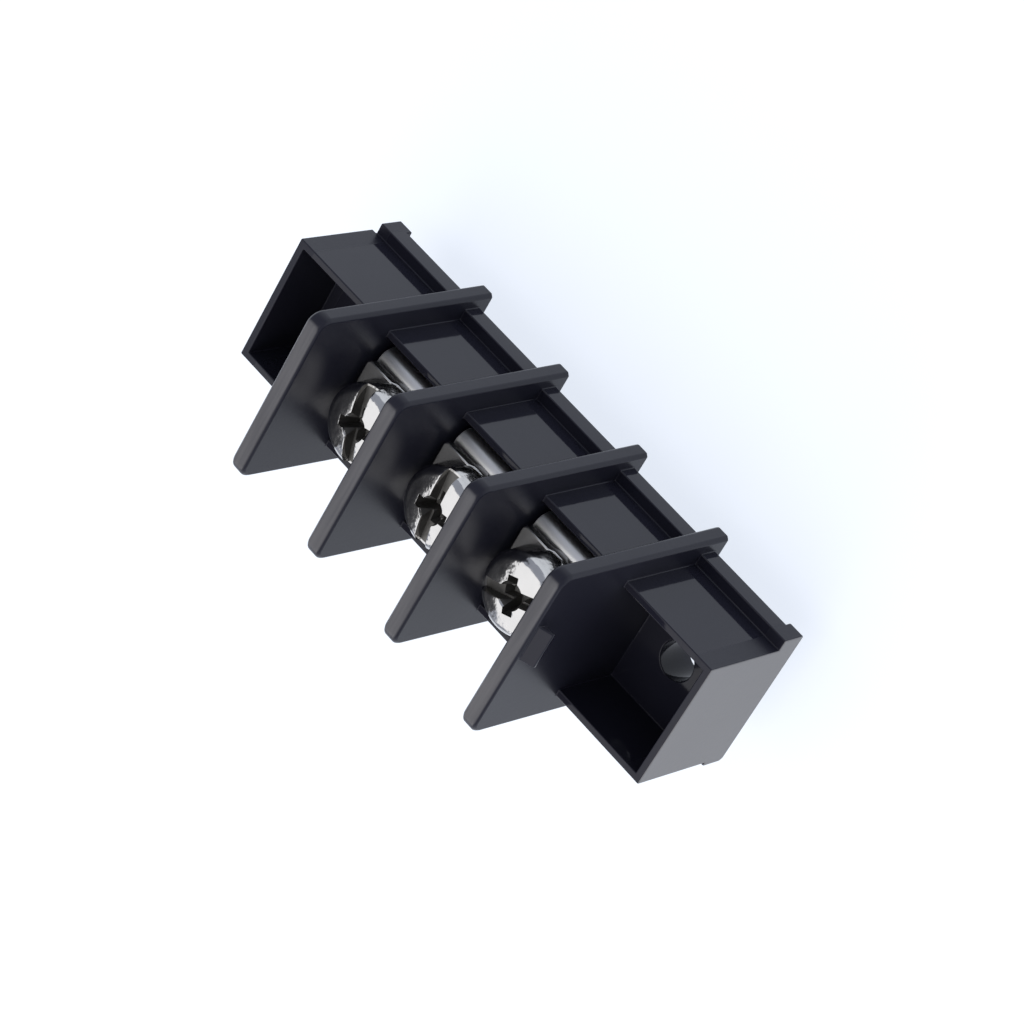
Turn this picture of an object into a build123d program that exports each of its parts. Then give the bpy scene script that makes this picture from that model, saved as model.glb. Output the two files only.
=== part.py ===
import os

from build123d import *

# Sizes in millimetres. The plane z = 0 is the underside of the flange, and the fins reach
# past it to the circuit board. The poles lie in a row along x. Wires enter from the front,
# at -y, and from the back
pitch = 9.5
poles = 3

# Housing moulding
end_length = 10.4
body_width = 11.8
body_top = 9.9
front_ledge = 1.0
back_ledge = 0.35
flange_thickness = 1.7
flange_setback = 0.5
foot_height = 0.57
foot_length = 1.5
foot_chamfer = 0.35
end_wall = 0.65
box_side_wall = 0.6
box_floor = 3.7
mould_draft = 0.3

# Barrier fins between the poles
fin_thickness = 1.5
fin_depth = 16.0
fin_top = 18.5
fin_foot = 1.05
fin_corner = 1.2
fin_edge = 0.25

# Catch for a cover on the outer face of the near end fin
catch_width = 3.3
catch_reach = 1.1
catch_slope = 0.6
catch_nose = 0.3
catch_drop = 0.45
catch_offset = -1.45

# Mounting holes in the floors of the end boxes, one pitch beyond the outer poles
mount_hole = 3.2

# Terminal strip
strip_thickness = 0.8
strip_width = 7.2
strip_depth = 9.0
strip_top = 10.0
strip_bend = 0.4
front_leg_end = 4.45
collar_diameter = 5.0
collar_depth = 1.4
pole_side_wall = 0.6
strip_clearance = 0.1
leg_clearance = 0.2

# Solder pin under the back leg of the strip
pin_width = 1.4
pin_length = 3.8
pin_tip_width = 0.7
pin_tip_length = 1.0
pin_clearance = 0.15

# Clamp plate with a channel pressed along its middle
plate_thickness = 0.8
plate_width = 7.2
plate_depth = 6.9
plate_corner = 0.4
channel_width = 1.6
channel_depth = 0.4
neck_clearance = 0.2

# Clamping screw with a pan head
screw_offset = -0.15
screw_diameter = 3.5
screw_length = 7.6
screw_tip_chamfer = 0.4
thread_clearance = 0.05
well_clearance = 0.4
well_bottom_clearance = 0.7
head_diameter = 6.9
head_height = 2.8
head_crown = 0.9
head_dome = 0.2
head_flat = 1.6
slot_width = 1.2
slot_depth = 1.1
cross_span = 3.9
cross_width = 1.0
cross_depth = 1.9
cross_taper = 10
slot_angles = [106, 97, 22]

# Places worked out from the sizes above
body_length = poles * pitch + 2 * end_length
mount_spacing = (poles + 1) * pitch
pole_places = [pitch * (n - (poles - 1) / 2) for n in reversed(range(poles))]
fin_places = [pitch * (n - poles / 2) for n in range(poles + 1)]
outer_fin_face = poles * pitch / 2 + fin_thickness / 2
box_length = end_length - end_wall
box_centre = poles * pitch / 2 + box_length / 2
flange_front = -body_width / 2 - front_ledge
flange_back = body_width / 2 + back_ledge
flange_near = -body_length / 2
flange_far = body_length / 2 - flange_setback
pedestal_top = strip_top - strip_thickness
pedestal_depth = strip_depth - 2 * strip_thickness - 2 * strip_clearance
channel_outside = body_width - 2 * pole_side_wall
plate_rest = strip_top + channel_depth
head_seat = plate_rest + plate_thickness
screw_tip = head_seat - screw_length
back_leg_centre = strip_depth / 2 - strip_thickness / 2
back_leg_end = flange_thickness + leg_clearance
pin_end = -fin_foot - pin_length


# One fin, a plate that narrows upwards, with rounded upper corners and broken edges
with BuildPart() as fin:
    with BuildSketch(Plane.YZ) as fin_side:
        with Locations((0, -fin_foot)):
            Trapezoid(fin_depth, fin_top + fin_foot, 90 - mould_draft, align=(Align.CENTER, Align.MIN))
        fillet(fin_side.vertices().group_by(Axis.Y)[-1], fin_corner)
    extrude(amount=fin_thickness / 2, both=True)
    outline = fin.edges().filter_by(Axis.X, reverse=True)
    chamfer(outline - outline.group_by(Axis.Z)[0], min(fin_edge, fin_thickness / 3))

# Housing, one black moulding with a flange, pole bodies, fins and an open box at each end
with BuildPart() as housing:
    with BuildSketch():
        with Locations(((flange_near + flange_far) / 2, (flange_front + flange_back) / 2)):
            Rectangle(flange_far - flange_near, flange_back - flange_front)
    extrude(amount=flange_thickness)
    with BuildSketch(Plane.XY.offset(flange_thickness)):
        Rectangle(body_length, body_width)
    extrude(amount=body_top - flange_thickness)

    # Feet across both ends of the flange, chamfered at the back
    for foot_centre in (flange_near + foot_length / 2, flange_far - foot_length / 2):
        with BuildSketch(Plane.YZ.offset(foot_centre)) as foot:
            with Locations(((flange_front + flange_back) / 2, 0)):
                Rectangle(
                    flange_back - flange_front,
                    foot_height,
                    align=(Align.CENTER, Align.MAX),
                )
            back_corner = foot.vertices().group_by(Axis.Y)[0].sort_by(Axis.X)[-1]
            chamfer(back_corner, min(foot_chamfer, foot_height / 2))
        extrude(amount=foot_length / 2, both=True)

    # Open end boxes
    with BuildSketch(Plane.XY.offset(body_top)):
        with Locations((-box_centre, 0), (box_centre, 0)):
            Rectangle(box_length, body_width - 2 * box_side_wall)
    extrude(amount=-(body_top - box_floor), taper=mould_draft, mode=Mode.SUBTRACT)
    with Locations((-mount_spacing / 2, 0, box_floor), (mount_spacing / 2, 0, box_floor)):
        Hole(mount_hole / 2, depth=box_floor)

    # Space for the strips, whose legs hang on both sides of a rounded pedestal
    with BuildSketch(Plane.YZ):
        with Locations((0, flange_thickness)):
            Rectangle(
                channel_outside,
                body_top - flange_thickness,
                align=(Align.CENTER, Align.MIN),
            )
        with BuildSketch(mode=Mode.SUBTRACT) as pedestal:
            with Locations((0, flange_thickness)):
                Rectangle(
                    pedestal_depth,
                    pedestal_top - flange_thickness,
                    align=(Align.CENTER, Align.MIN),
                )
            fillet(pedestal.vertices().group_by(Axis.Y)[-1], strip_bend + strip_clearance)
    extrude(amount=poles * pitch / 2, both=True, mode=Mode.SUBTRACT)

    # Well under each strip for its collar and for the end of the screw
    with Locations([(x, screw_offset, pedestal_top) for x in pole_places]):
        CounterBoreHole(
            radius=screw_diameter / 2 + well_clearance,
            counter_bore_radius=collar_diameter / 2 + well_clearance,
            counter_bore_depth=collar_depth + well_clearance,
            depth=pedestal_top - screw_tip + well_bottom_clearance,
        )

    # Slot in the floor for each solder pin
    with BuildSketch():
        with Locations([(x, back_leg_centre) for x in pole_places]):
            Rectangle(pin_width + 2 * pin_clearance, strip_thickness + 2 * pin_clearance)
    extrude(amount=flange_thickness, mode=Mode.SUBTRACT)

    # Fins, joined after the cuts, wall off the poles and the end boxes
    with Locations([(x, 0, 0) for x in fin_places]):
        add(fin.part)

    # Catch, a small wedge with a sloping top that stands out from the near end fin
    root = -poles * pitch / 2
    face = -outer_fin_face
    tip = face - catch_reach
    catch_top = fin_top - catch_drop
    nose_top = catch_top - catch_slope
    with BuildSketch(Plane.XZ.offset(-catch_offset)):
        with BuildLine():
            Polyline(
                (root, catch_top),
                (face, catch_top),
                (tip, nose_top),
                (tip, nose_top - catch_nose),
                (root, nose_top - catch_nose),
                close=True,
            )
        make_face()
    extrude(amount=catch_width / 2, both=True)
housing.part.label = "housing"


def make_terminal(x, label):
    """Tinned strip bent over the pole, with a tapped collar and a solder pin."""
    with BuildPart() as terminal:
        outer_bend = strip_thickness + strip_bend
        with BuildSketch(Plane.YZ.offset(x)) as strip:
            with Locations((0, strip_top)):
                Rectangle(strip_depth, strip_top - front_leg_end, align=(Align.CENTER, Align.MAX))
            fillet(strip.vertices().group_by(Axis.Y)[-1], outer_bend)
            with BuildSketch(mode=Mode.SUBTRACT) as inside:
                with Locations((0, strip_top - strip_thickness)):
                    Rectangle(
                        strip_depth - 2 * strip_thickness,
                        strip_top - strip_thickness - front_leg_end,
                        align=(Align.CENTER, Align.MAX),
                    )
                fillet(inside.vertices().group_by(Axis.Y)[-1], strip_bend)
        extrude(amount=strip_width / 2, both=True)

        # Back leg, down to the floor, and the pin through the floor
        leg_plane = Plane.XZ.offset(-back_leg_centre)
        with BuildSketch(leg_plane):
            with Locations((x, front_leg_end)):
                Rectangle(strip_width, front_leg_end - back_leg_end, align=(Align.CENTER, Align.MAX))
            with BuildLine():
                Polyline(
                    (x - pin_width / 2, back_leg_end),
                    (x - pin_width / 2, pin_end + pin_tip_length),
                    (x - pin_tip_width / 2, pin_end),
                    (x + pin_tip_width / 2, pin_end),
                    (x + pin_width / 2, pin_end + pin_tip_length),
                    (x + pin_width / 2, back_leg_end),
                    close=True,
                )
            make_face()
        extrude(amount=strip_thickness / 2, both=True)

        # Collar drawn down from the strip and tapped for the screw
        with BuildSketch(Plane.XY.offset(strip_top - strip_thickness)):
            with Locations((x, screw_offset)):
                Circle(collar_diameter / 2)
        extrude(amount=-collar_depth)
        with Locations((x, screw_offset, strip_top)):
            Hole(screw_diameter / 2 + thread_clearance, depth=strip_thickness + collar_depth)
    terminal.part.label = label
    return terminal.part


def make_clamp_plate(x, label):
    """Square plate that rides under the screw head and presses on the wires."""
    with BuildPart() as plate:
        shoulder = channel_width / 2
        bottom = shoulder - channel_depth
        drop = plate_rest - channel_depth
        with BuildSketch(Plane.XZ.offset(-screw_offset)):
            with BuildLine():
                Polyline(
                    (x - plate_width / 2, head_seat),
                    (x - shoulder, head_seat),
                    (x - bottom, head_seat - channel_depth),
                    (x + bottom, head_seat - channel_depth),
                    (x + shoulder, head_seat),
                    (x + plate_width / 2, head_seat),
                    (x + plate_width / 2, plate_rest),
                    (x + shoulder, plate_rest),
                    (x + bottom, drop),
                    (x - bottom, drop),
                    (x - shoulder, plate_rest),
                    (x - plate_width / 2, plate_rest),
                    close=True,
                )
            make_face()
        extrude(amount=plate_depth / 2, both=True)
        upright = plate.edges().filter_by(Axis.Z)
        corners = upright.group_by(Axis.X)[0] + upright.group_by(Axis.X)[-1]
        fillet(corners, plate_corner)
        with Locations((x, screw_offset, head_seat)):
            Hole(screw_diameter / 2 + neck_clearance, depth=plate_thickness + channel_depth)
    plate.part.label = label
    return plate.part


def make_screw(x, angle, label):
    """Pan head screw with a slot across the head and a crossed recess."""
    head_top = head_seat + head_height
    head_radius = head_diameter / 2
    shank_radius = screw_diameter / 2
    with BuildPart() as screw:
        with BuildSketch(Plane.XZ.offset(-screw_offset)) as section:
            with BuildLine():
                Polyline(
                    (x, screw_tip),
                    (x + shank_radius - screw_tip_chamfer, screw_tip),
                    (x + shank_radius, screw_tip + screw_tip_chamfer),
                    (x + shank_radius, head_seat),
                    (x + head_radius, head_seat),
                    (x + head_radius - head_dome, head_top - head_dome),
                    (x + head_flat, head_top),
                    (x, head_top),
                    close=True,
                )
            make_face()
            shoulder = section.vertices().sort_by(Axis.X)[-2]
            fillet(shoulder, head_crown)
        revolve(axis=Axis((x, screw_offset, 0), (0, 0, 1)))

        # Slot right across, then the deeper cross that tapers downwards
        centre = Plane(origin=(x, screw_offset, head_top), z_dir=(0, 0, 1))
        turned = centre.rotated((0, 0, angle))
        with BuildSketch(turned):
            Rectangle(head_diameter, slot_width)
        extrude(amount=-slot_depth, mode=Mode.SUBTRACT)
        with BuildSketch(turned):
            Rectangle(cross_span, cross_width)
            Rectangle(cross_width, cross_span)
        extrude(amount=-cross_depth, taper=cross_taper, mode=Mode.SUBTRACT)
    screw.part.label = label
    return screw.part


pieces = [housing.part]
for number, (x, angle) in enumerate(zip(pole_places, slot_angles), start=1):
    pieces.append(make_terminal(x, f"terminal_{number}"))
    pieces.append(make_clamp_plate(x, f"clamp_plate_{number}"))
    pieces.append(make_screw(x, angle, f"screw_{number}"))

os.makedirs("parts", exist_ok=True)
for piece in pieces:
    export_step(piece, f"parts/{piece.label}.step")
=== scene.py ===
import math

import bpy
from mathutils import Matrix, Vector


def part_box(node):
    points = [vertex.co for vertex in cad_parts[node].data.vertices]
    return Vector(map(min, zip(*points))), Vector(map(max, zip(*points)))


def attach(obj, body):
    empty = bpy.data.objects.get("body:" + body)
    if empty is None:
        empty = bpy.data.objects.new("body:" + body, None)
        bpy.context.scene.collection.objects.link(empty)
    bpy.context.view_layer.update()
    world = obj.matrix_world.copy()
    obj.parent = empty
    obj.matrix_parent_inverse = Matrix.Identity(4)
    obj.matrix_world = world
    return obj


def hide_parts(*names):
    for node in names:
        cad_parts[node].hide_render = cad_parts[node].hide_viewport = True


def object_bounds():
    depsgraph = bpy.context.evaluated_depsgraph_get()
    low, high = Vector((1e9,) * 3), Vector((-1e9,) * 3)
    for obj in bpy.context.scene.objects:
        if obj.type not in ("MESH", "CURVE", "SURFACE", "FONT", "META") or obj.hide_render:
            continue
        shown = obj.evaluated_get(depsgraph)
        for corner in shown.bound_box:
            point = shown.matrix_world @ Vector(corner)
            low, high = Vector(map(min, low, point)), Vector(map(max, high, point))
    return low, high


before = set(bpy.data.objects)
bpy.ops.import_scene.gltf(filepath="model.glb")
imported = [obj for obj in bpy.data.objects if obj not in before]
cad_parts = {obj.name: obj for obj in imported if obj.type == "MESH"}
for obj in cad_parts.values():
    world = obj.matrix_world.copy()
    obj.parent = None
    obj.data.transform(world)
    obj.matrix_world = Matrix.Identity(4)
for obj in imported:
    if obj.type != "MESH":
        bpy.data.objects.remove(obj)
CAD_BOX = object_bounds()

MM = 0.001
POLES = (1, 2, 3)


# Shader building

class Signal:
    """A number that varies over a surface, ready for plain arithmetic."""

    def __init__(self, finish, socket):
        self.finish = finish
        self.socket = socket

    def join(self, operation, first, second):
        return self.finish.node("ShaderNodeMath", {"operation": operation}, {0: first, 1: second})

    def __add__(self, other):
        return self.join("ADD", self, other)

    def __radd__(self, other):
        return self.join("ADD", other, self)

    def __sub__(self, other):
        return self.join("SUBTRACT", self, other)

    def __rsub__(self, other):
        return self.join("SUBTRACT", other, self)

    def __mul__(self, other):
        return self.join("MULTIPLY", self, other)

    def __rmul__(self, other):
        return self.join("MULTIPLY", other, self)

    def __gt__(self, other):
        return self.join("GREATER_THAN", self, other)

    def __lt__(self, other):
        return self.join("LESS_THAN", self, other)

    def larger(self, other):
        return self.join("MAXIMUM", self, other)

    def folded(self, length):
        """Rises from 0 to this length, falls back to 0, and so on."""
        return self.join("PINGPONG", self, length)


class Finish:
    """A surface finish: one Principled shader and the nodes that vary it."""

    def __init__(self, name):
        self.material = bpy.data.materials.new(name)
        self.material.use_nodes = True
        self.tree = self.material.node_tree
        self.shader = self.tree.nodes["Principled BSDF"]
        self.place = self.node("ShaderNodeTexCoord", {}, {}, "Object")

    def node(self, kind, settings, sockets, output=0):
        made = self.tree.nodes.new(kind)
        for name, value in settings.items():
            setattr(made, name, value)
        for name, value in sockets.items():
            self.feed(made.inputs[name], value)
        return Signal(self, made.outputs[output])

    def feed(self, socket, value):
        if isinstance(value, Signal):
            self.tree.links.new(value.socket, socket)
        else:
            socket.default_value = value

    def set(self, **values):
        for name, value in values.items():
            self.feed(self.shader.inputs[name.replace("_", " ")], value)

    def across(self, axis):
        return self.node("ShaderNodeSeparateXYZ", {}, {"Vector": self.place}, axis)

    def noise(self, scale, detail, roughness, stretch=(1, 1, 1)):
        where = self.node("ShaderNodeMapping", {}, {"Vector": self.place, "Scale": stretch})
        return self.node("ShaderNodeTexNoise", {}, {
            "Vector": where, "Scale": scale, "Detail": detail, "Roughness": roughness})

    def bump(self, height, distance, strength):
        return self.node("ShaderNodeBump", {}, {
            "Height": height, "Distance": distance, "Strength": strength})

    def blend(self, factor, first, second):
        """A mix of two colours, whose sockets have these numbers among the mix node's."""
        return self.node("ShaderNodeMix", {"data_type": "RGBA"}, {0: factor, 6: first, 7: second}, 2)


# Finishes

GRAIN_DEPTH = 0.03 * MM
DENT_DEPTH = 0.15 * MM

# The flange's far edge stands this far back from the end wall, and has its satin finish and painted grey
# sheen
FLANGE_SETBACK = 0.5 * MM
FLANGE_TOP = 1.65 * MM

# A painted highlight with scuffs on the fins starts this far under their tops, and is full this far
# under them
SHEEN_AND_SCUFF_START = 0.16 * MM
SHEEN_AND_SCUFF_FULL = 0.03 * MM

# The head's skin falls by this share of its radius at the rim. The recess, rougher and painted darker as
# shade, lies deeper than RECESS_SKIN under it, where the squared distance from the screw's axis, as a
# share of the squared radius, is under RECESS_REACH
CROWN_FALL = 0.39
RECESS_SKIN = 0.16 * MM
RECESS_REACH = 0.88


def black_moulding(end_plane, fin_top, pitch, fin_half):
    """Black plastic: polished walls, satin fins and end walls, end walls painted grey as sheen, fin tops
    with scuffs and a painted highlight.
    """
    finish = Finish("black moulding")
    mottle = finish.noise(160, 4, 0.6)
    grain = finish.noise(2600, 2, 0.5)
    streaks = finish.noise(1400, 3, 0.6, (1, 0.06, 1))
    along = finish.across("X")
    height = finish.across("Z")
    end_walls = (along < -end_plane) + (along > end_plane)
    ends = end_walls.larger((along > end_plane - FLANGE_SETBACK) * (height < FLANGE_TOP))
    fins = (along + pitch / 2).folded(pitch / 2) < fin_half
    tops = finish.node("ShaderNodeMapRange", {"interpolation_type": "SMOOTHSTEP"}, {
        "Value": height, "From Min": fin_top - SHEEN_AND_SCUFF_START, "From Max": fin_top - SHEEN_AND_SCUFF_FULL})
    # The plastic is black; the blue in these colours is a painted reflection tint, the bluish light the
    # walls reflect
    black = finish.blend(mottle, (0.013, 0.013, 0.021, 1), (0.017, 0.017, 0.025, 1))
    # Fin tops: lighter grey streaks, partly scuffs and partly a painted highlight where light falls on
    # the tops
    top_sheen_and_scuffs = tops * (0.16 + 0.6 * streaks)
    relief = grain * (0.1 + 0.3 * fins + 0.8 * ends) + mottle + tops * streaks
    finish.set(
        # End walls: light grey that is painted sheen over their satin finish; fin tops: painted
        # highlight and scuffs
        Base_Color=finish.blend(ends + top_sheen_and_scuffs, black, (0.195, 0.188, 0.185, 1)),
        Roughness=0.04 + 0.06 * mottle + 0.28 * fins + 0.30 * ends + 0.06 * tops,
        IOR=1.32,
        Normal=finish.bump(relief, GRAIN_DEPTH, 0.30),
    )
    return finish.material


def tinned_sheet():
    finish = Finish("tinned sheet metal")
    streaks = finish.noise(900, 4, 0.6, (0.08, 1, 1))
    cloud = finish.noise(300, 3, 0.5)
    finish.set(
        Base_Color=finish.blend(cloud, (0.76, 0.75, 0.72, 1), (0.90, 0.89, 0.86, 1)),
        Metallic=1.0,
        Roughness=0.28 + 0.22 * streaks,
        Normal=finish.bump(streaks, GRAIN_DEPTH, 0.4),
    )
    return finish.material


def nickelled_plate():
    finish = Finish("nickelled clamp plate")
    dents = finish.noise(700, 3, 0.5)
    finish.set(
        Base_Color=finish.blend(dents, (0.50, 0.49, 0.47, 1), (0.62, 0.61, 0.59, 1)),
        Metallic=1.0,
        Roughness=0.16 + 0.14 * dents,
        Normal=finish.bump(dents, GRAIN_DEPTH, 0.4),
    )
    return finish.material


def nickelled_screw(head_top, head_radius, axis_y, pitch):
    """Nickel, bright outside; in the recess rougher, and painted darker as shade."""
    finish = Finish("nickelled screw")
    dents = finish.noise(600, 3, 0.5)
    across = finish.across("X").folded(pitch / 2)
    back = finish.across("Y") - axis_y
    reach = (across * across + back * back) * (1 / head_radius ** 2)
    skin = head_top - CROWN_FALL * head_radius * (reach * reach)
    # Painted shade: the recess is coloured dark as shade, and its finish is made rougher
    recess_shade_and_dull = (finish.across("Z") < skin - RECESS_SKIN) * (reach < RECESS_REACH)
    bright = finish.blend(dents, (0.47, 0.465, 0.45, 1), (0.57, 0.56, 0.545, 1))
    finish.set(
        Base_Color=finish.blend(recess_shade_and_dull, bright, (0.16, 0.155, 0.145, 1)),
        Metallic=1.0,
        Roughness=0.10 + 0.12 * dents + 0.40 * recess_shade_and_dull,
        Normal=finish.bump(dents, DENT_DEPTH, 0.8),
    )
    return finish.material


# Handling pieces

SHARP_EDGE = math.radians(28)
SMOOTH_EDGE = math.radians(50)
MOULDED_ROUND = 0.10 * MM
STRIP_ROUND = 0.08 * MM
PLATE_ROUND = 0.12 * MM


def middle(node, axis):
    """Where the middle of a CAD node's box lies along an axis."""
    low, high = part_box(node)
    return (low[axis] + high[axis]) / 2


def pick(*pieces):
    """Select these pieces only, the last one active."""
    bpy.ops.object.select_all(action="DESELECT")
    for piece in pieces:
        piece.select_set(True)
    bpy.context.view_layer.objects.active = pieces[-1]


def choose_faces(piece, wanted):
    """In edit mode, select the faces whose centre and normal are wanted."""
    bpy.ops.object.mode_set(mode="EDIT")
    bpy.ops.mesh.select_mode(type="FACE")
    bpy.ops.mesh.select_all(action="DESELECT")
    bpy.ops.object.mode_set(mode="OBJECT")
    for face in piece.data.polygons:
        face.select = wanted(face.center, face.normal)
    bpy.ops.object.mode_set(mode="EDIT")


def press_on(piece, kind, **settings):
    """Add a modifier and apply it."""
    modifier = piece.modifiers.new(kind.lower(), kind)
    for name, value in settings.items():
        setattr(modifier, name, value)
    pick(piece)
    bpy.ops.object.modifier_apply(modifier=modifier.name)


def rename(piece, name, finish):
    piece.name = name
    piece.data.name = name
    piece.data.materials.clear()
    piece.data.materials.append(finish)


def soften(node, name, body, finish, width):
    """Replace a CAD node with a copy whose sharp edges are rounded off."""
    piece = bpy.data.objects.new(name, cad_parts[node].data.copy())
    bpy.context.collection.objects.link(piece)
    pick(piece)
    bpy.ops.object.mode_set(mode="EDIT")
    bpy.ops.mesh.select_all(action="SELECT")
    bpy.ops.mesh.remove_doubles(threshold=0.0001 * MM)
    bpy.ops.mesh.dissolve_limited(angle_limit=math.radians(1))
    bpy.ops.object.mode_set(mode="OBJECT")
    press_on(piece, "BEVEL", width=width, segments=3, limit_method="ANGLE",
             angle_limit=SHARP_EDGE, use_clamp_overlap=False)
    bpy.ops.object.shade_smooth_by_angle(angle=SMOOTH_EDGE)
    press_on(piece, "WEIGHTED_NORMAL", keep_sharp=True)
    rename(piece, name, finish)
    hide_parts(node)
    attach(piece, body)


# Clamping screw

SEAT_TO_TOP = 2.79 * MM
DOME_RISE = 0.2 * MM
CROWN_ROUND = 0.85 * MM
HEAD_SIDE_TAPER = 0.96
TIP_LENGTH = 0.3 * MM
TIP_TAPER = 0.8
THREAD_PITCH = 0.6 * MM
THREAD_CREST = 1.74 * MM
THREAD_ROOT = 1.38 * MM
THREAD_HALF_WIDTH = 0.27 * MM
THREAD_START = 0.55 * MM
SHANK_LEFT_BARE = 1.2 * MM
SLOT_LENGTH_IN_RADII = 2.2
SLOT_WIDTH = 1.2 * MM
SLOT_DEPTH = 1.15 * MM
CROSS_SPAN = 3.9 * MM
CROSS_WIDTH = 1.2 * MM
CROSS_DEPTH = 2.1 * MM
CROSS_TAPER = 0.62
MIDDLE_LOW_RADIUS = 0.35 * MM
MIDDLE_HIGH_RADIUS = 2.0 * MM
RECESS_ROUND = 0.10 * MM
RECESS_EDGE = math.radians(32)
SMOOTH_SCREW = math.radians(35)

# Rings of the dome from the crown inwards: share of the rise, and size against the last
DOME_RINGS = ((0.45, 0.85), (0.30, 0.80), (0.18, 0.72), (0.07, 0.50))

SCREW_TURNS = (math.radians(106), math.radians(97), math.radians(22))

screw_low, screw_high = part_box("screw_2")
head_top = screw_high[2]
head_seat = head_top - SEAT_TO_TOP
head_radius = (screw_high[0] - screw_low[0]) / 2
screw_tip = screw_low[2]


def head_and_core():
    """Pan head with a slightly domed top on a shank of the thread's root size."""
    height = SEAT_TO_TOP - DOME_RISE
    bpy.ops.object.select_all(action="DESELECT")
    bpy.ops.mesh.primitive_cone_add(
        vertices=72, radius1=head_radius, radius2=head_radius * HEAD_SIDE_TAPER, depth=height,
        location=(0, 0, head_seat + height / 2))
    screw = bpy.context.object
    bpy.ops.object.transform_apply(location=True)

    choose_faces(screw, lambda centre, normal: normal.z > 0.9)
    bpy.ops.mesh.bevel(offset=CROWN_ROUND, segments=8, affect="EDGES")
    choose_faces(screw, lambda centre, normal: normal.z > 0.999)
    for rise, shrink in DOME_RINGS:
        bpy.ops.mesh.extrude_region_move(TRANSFORM_OT_translate={"value": (0, 0, rise * DOME_RISE)})
        bpy.ops.transform.resize(value=(shrink, shrink, 1))

    choose_faces(screw, lambda centre, normal: normal.z < -0.9)
    bpy.ops.mesh.inset(thickness=head_radius - THREAD_ROOT)
    shank_drop = screw_tip - head_seat + TIP_LENGTH
    bpy.ops.mesh.extrude_region_move(TRANSFORM_OT_translate={"value": (0, 0, shank_drop)})
    bpy.ops.mesh.extrude_region_move(TRANSFORM_OT_translate={"value": (0, 0, -TIP_LENGTH)})
    bpy.ops.transform.resize(value=(TIP_TAPER, TIP_TAPER, 1))
    bpy.ops.object.mode_set(mode="OBJECT")
    return screw


def cutter(length, width, depth, narrowing, turn):
    """A bar for cutting into the head, narrower at its bottom."""
    bpy.ops.object.select_all(action="DESELECT")
    bpy.ops.mesh.primitive_cube_add(size=1, location=(0, 0, head_top))
    bar = bpy.context.object
    bar.dimensions = (length, width, 2 * depth)
    bar.rotation_euler.z = turn
    bpy.ops.object.transform_apply(location=True, rotation=True, scale=True)
    choose_faces(bar, lambda centre, normal: normal.z < -0.9)
    bpy.ops.transform.resize(value=(narrowing, narrowing, 1))
    bpy.ops.object.mode_set(mode="OBJECT")
    return bar


def cut_recess(screw):
    """A slot right across the head, and a deeper tapering cross with a round middle."""
    bars = [
        cutter(SLOT_LENGTH_IN_RADII * head_radius, SLOT_WIDTH, SLOT_DEPTH, 1.0, 0),
        cutter(CROSS_SPAN, CROSS_WIDTH, CROSS_DEPTH, CROSS_TAPER, 0),
        cutter(CROSS_SPAN, CROSS_WIDTH, CROSS_DEPTH, CROSS_TAPER, math.pi / 2),
    ]
    bpy.ops.object.select_all(action="DESELECT")
    bpy.ops.mesh.primitive_cone_add(
        vertices=32, radius1=MIDDLE_LOW_RADIUS, radius2=MIDDLE_HIGH_RADIUS, depth=2 * CROSS_DEPTH,
        location=(0, 0, head_top))
    bpy.ops.object.transform_apply(location=True)
    bars.append(bpy.context.object)
    for bar in bars:
        press_on(screw, "BOOLEAN", operation="DIFFERENCE", solver="EXACT", object=bar)
        bpy.data.objects.remove(bar)
    press_on(screw, "BEVEL", width=RECESS_ROUND, segments=3, limit_method="ANGLE",
             angle_limit=RECESS_EDGE, use_clamp_overlap=True, loop_slide=False)


def thread_ridge():
    """One helical ridge from the tip up to just below the head, closed at both ends."""
    turns = int((head_seat - screw_tip - SHANK_LEFT_BARE) / THREAD_PITCH)
    bpy.ops.object.select_all(action="DESELECT")
    bpy.ops.mesh.primitive_circle_add(vertices=4, radius=THREAD_HALF_WIDTH, rotation=(math.pi / 2, 0, 0))
    ridge = bpy.context.object
    ridge.scale = ((THREAD_CREST - THREAD_ROOT) / THREAD_HALF_WIDTH, 1, 1)
    ridge.location = (THREAD_ROOT, 0, screw_tip + THREAD_START)
    bpy.ops.object.transform_apply(location=True, rotation=True, scale=True)
    press_on(ridge, "SCREW", axis="Z", angle=2 * math.pi, screw_offset=THREAD_PITCH, iterations=turns,
             steps=32, render_steps=32, use_normal_calculate=True)
    bpy.ops.object.mode_set(mode="EDIT")
    bpy.ops.mesh.select_mode(type="EDGE")
    bpy.ops.mesh.select_all(action="DESELECT")
    bpy.ops.mesh.select_non_manifold()
    bpy.ops.mesh.fill_holes(sides=4)
    bpy.ops.mesh.select_all(action="SELECT")
    bpy.ops.mesh.normals_make_consistent(inside=False)
    bpy.ops.object.mode_set(mode="OBJECT")
    return ridge


def make_screws(finish):
    screw = head_and_core()
    cut_recess(screw)
    ridge = thread_ridge()
    pick(ridge, screw)
    bpy.ops.object.join()
    bpy.ops.object.shade_smooth_by_angle(angle=SMOOTH_SCREW)
    press_on(screw, "WEIGHTED_NORMAL", keep_sharp=True)
    for number, turn in zip(POLES, SCREW_TURNS):
        low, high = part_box(f"screw_{number}")
        pick(screw)
        bpy.ops.object.duplicate()
        piece = bpy.context.object
        piece.location = ((low[0] + high[0]) / 2, (low[1] + high[1]) / 2, 0)
        piece.rotation_euler.z = turn
        bpy.ops.object.transform_apply(location=True, rotation=True)
        rename(piece, f"clamping_screw_{number}", finish)
        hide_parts(f"screw_{number}")
        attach(piece, f"screw_{number}")
    bpy.data.objects.remove(screw)


# Studio

FLOOR_GAP = 0.2 * MM
LENS_LENGTH = 133.28
CAMERA_PLACE = (-0.12077, -0.14992, 0.22290)
CAMERA_RIGHT = (-0.6245, -0.4386, -0.6462)
CAMERA_UP = (0.6637, -0.7342, -0.1431)


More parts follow.
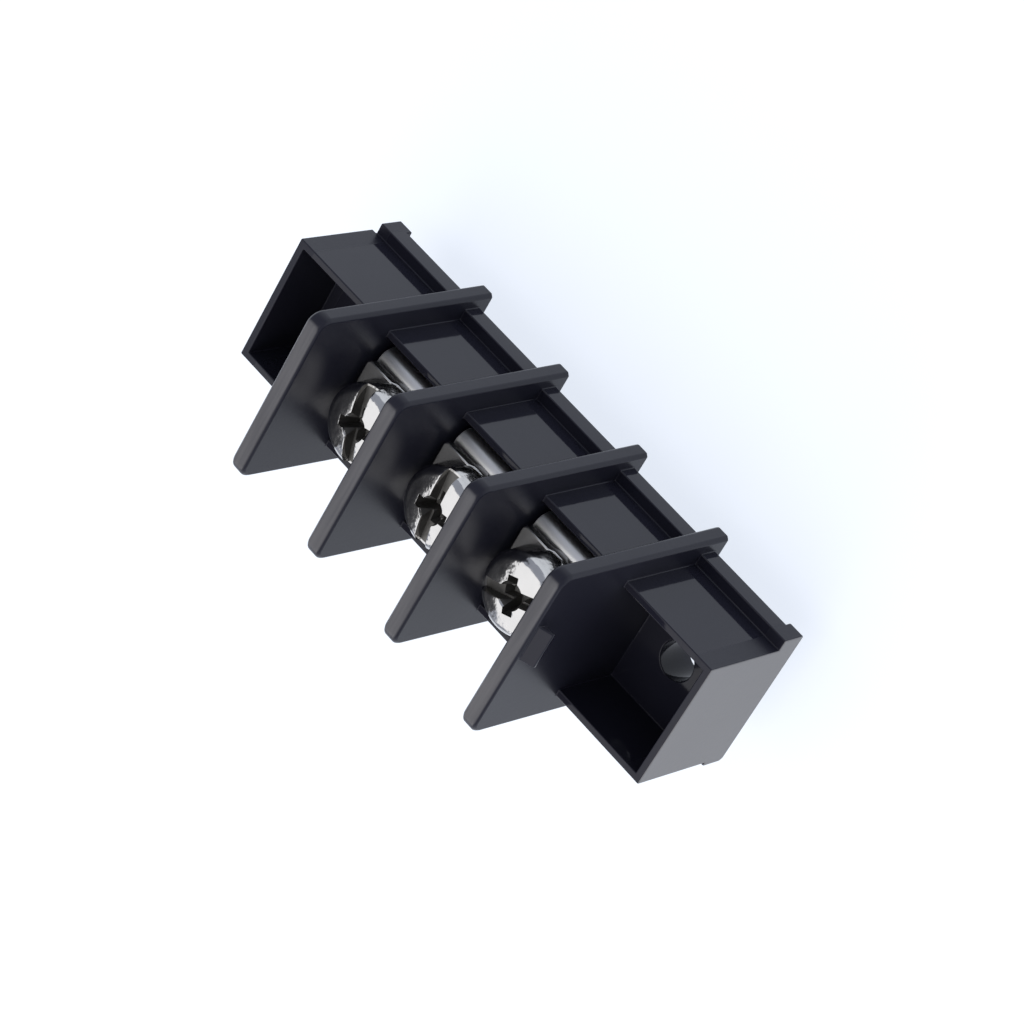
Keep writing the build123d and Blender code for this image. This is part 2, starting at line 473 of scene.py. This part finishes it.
def pale_floor(height):
    bpy.ops.mesh.primitive_plane_add(size=3, location=(0, 0, height))
    floor = bpy.context.object
    floor.name = "floor"
    material = bpy.data.materials.new("pale floor")
    material.use_nodes = True
    shader = material.node_tree.nodes["Principled BSDF"]
    shader.inputs["Base Color"].default_value = (0.32, 0.32, 0.32, 1)
    shader.inputs["Roughness"].default_value = 0.8
    shader.inputs["Emission Color"].default_value = (0.84, 0.90, 1.0, 1)
    shader.inputs["Emission Strength"].default_value = 0.84
    floor.data.materials.append(material)


def soft_light(name, direction, distance, size, power, colour):
    lamp = bpy.data.lights.new(name, "AREA")
    lamp.size = size
    lamp.energy = power
    lamp.color = colour
    light = bpy.data.objects.new(name, lamp)
    bpy.context.collection.objects.link(light)
    toward = Vector(direction).normalized()
    light.location = toward * distance
    light.rotation_euler = toward.to_track_quat("Z", "Y").to_euler()


def studio_world(colour):
    world = bpy.data.worlds.new("studio")
    world.use_nodes = True
    world.node_tree.nodes["Background"].inputs["Color"].default_value = (*colour, 1)
    bpy.context.scene.world = world


def photo_camera():
    lens = bpy.data.cameras.new("camera")
    lens.lens = LENS_LENGTH
    lens.sensor_width = 36
    lens.clip_start = 0.01
    camera = bpy.data.objects.new("camera", lens)
    bpy.context.collection.objects.link(camera)
    right = Vector(CAMERA_RIGHT).normalized()
    up = Vector(CAMERA_UP).normalized()
    back = right.cross(up).normalized()
    up = back.cross(right)
    turn = Matrix((right, up, back)).transposed().to_4x4()
    camera.matrix_world = Matrix.Translation(CAMERA_PLACE) @ turn
    bpy.context.scene.camera = camera


# Assembly

FIN_HALF = 0.8 * MM
END_WALL_SKIN = 0.05 * MM
housing_low, housing_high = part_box("housing")
end_plane = -housing_low[0] - END_WALL_SKIN
pitch = middle("screw_1", 0) - middle("screw_2", 0)
moulding = black_moulding(end_plane, housing_high[2], pitch, FIN_HALF)
tin = tinned_sheet()
plate_nickel = nickelled_plate()
screw_nickel = nickelled_screw(head_top, head_radius, middle("screw_2", 1), pitch)

soften("housing", "moulded_housing", "housing", moulding, MOULDED_ROUND)
for number in POLES:
    soften(f"terminal_{number}", f"bent_strip_{number}", "housing", tin, STRIP_ROUND)
    plate = f"clamp_plate_{number}"
    soften(plate, f"pressed_plate_{number}", plate, plate_nickel, PLATE_ROUND)
make_screws(screw_nickel)

pale_floor(CAD_BOX[0][2] - FLOOR_GAP)
soft_light("lamp overhead", (-0.08, 0.34, 0.94), 1.0, 1.6, 9.0, (1.0, 0.98, 0.95))
soft_light("window at the back", (-0.12, 0.92, 0.40), 1.0, 0.5, 2.0, (1.0, 0.98, 0.96))
studio_world((0.44, 0.47, 0.56))
bpy.context.scene.view_settings.view_transform = "Standard"
photo_camera()
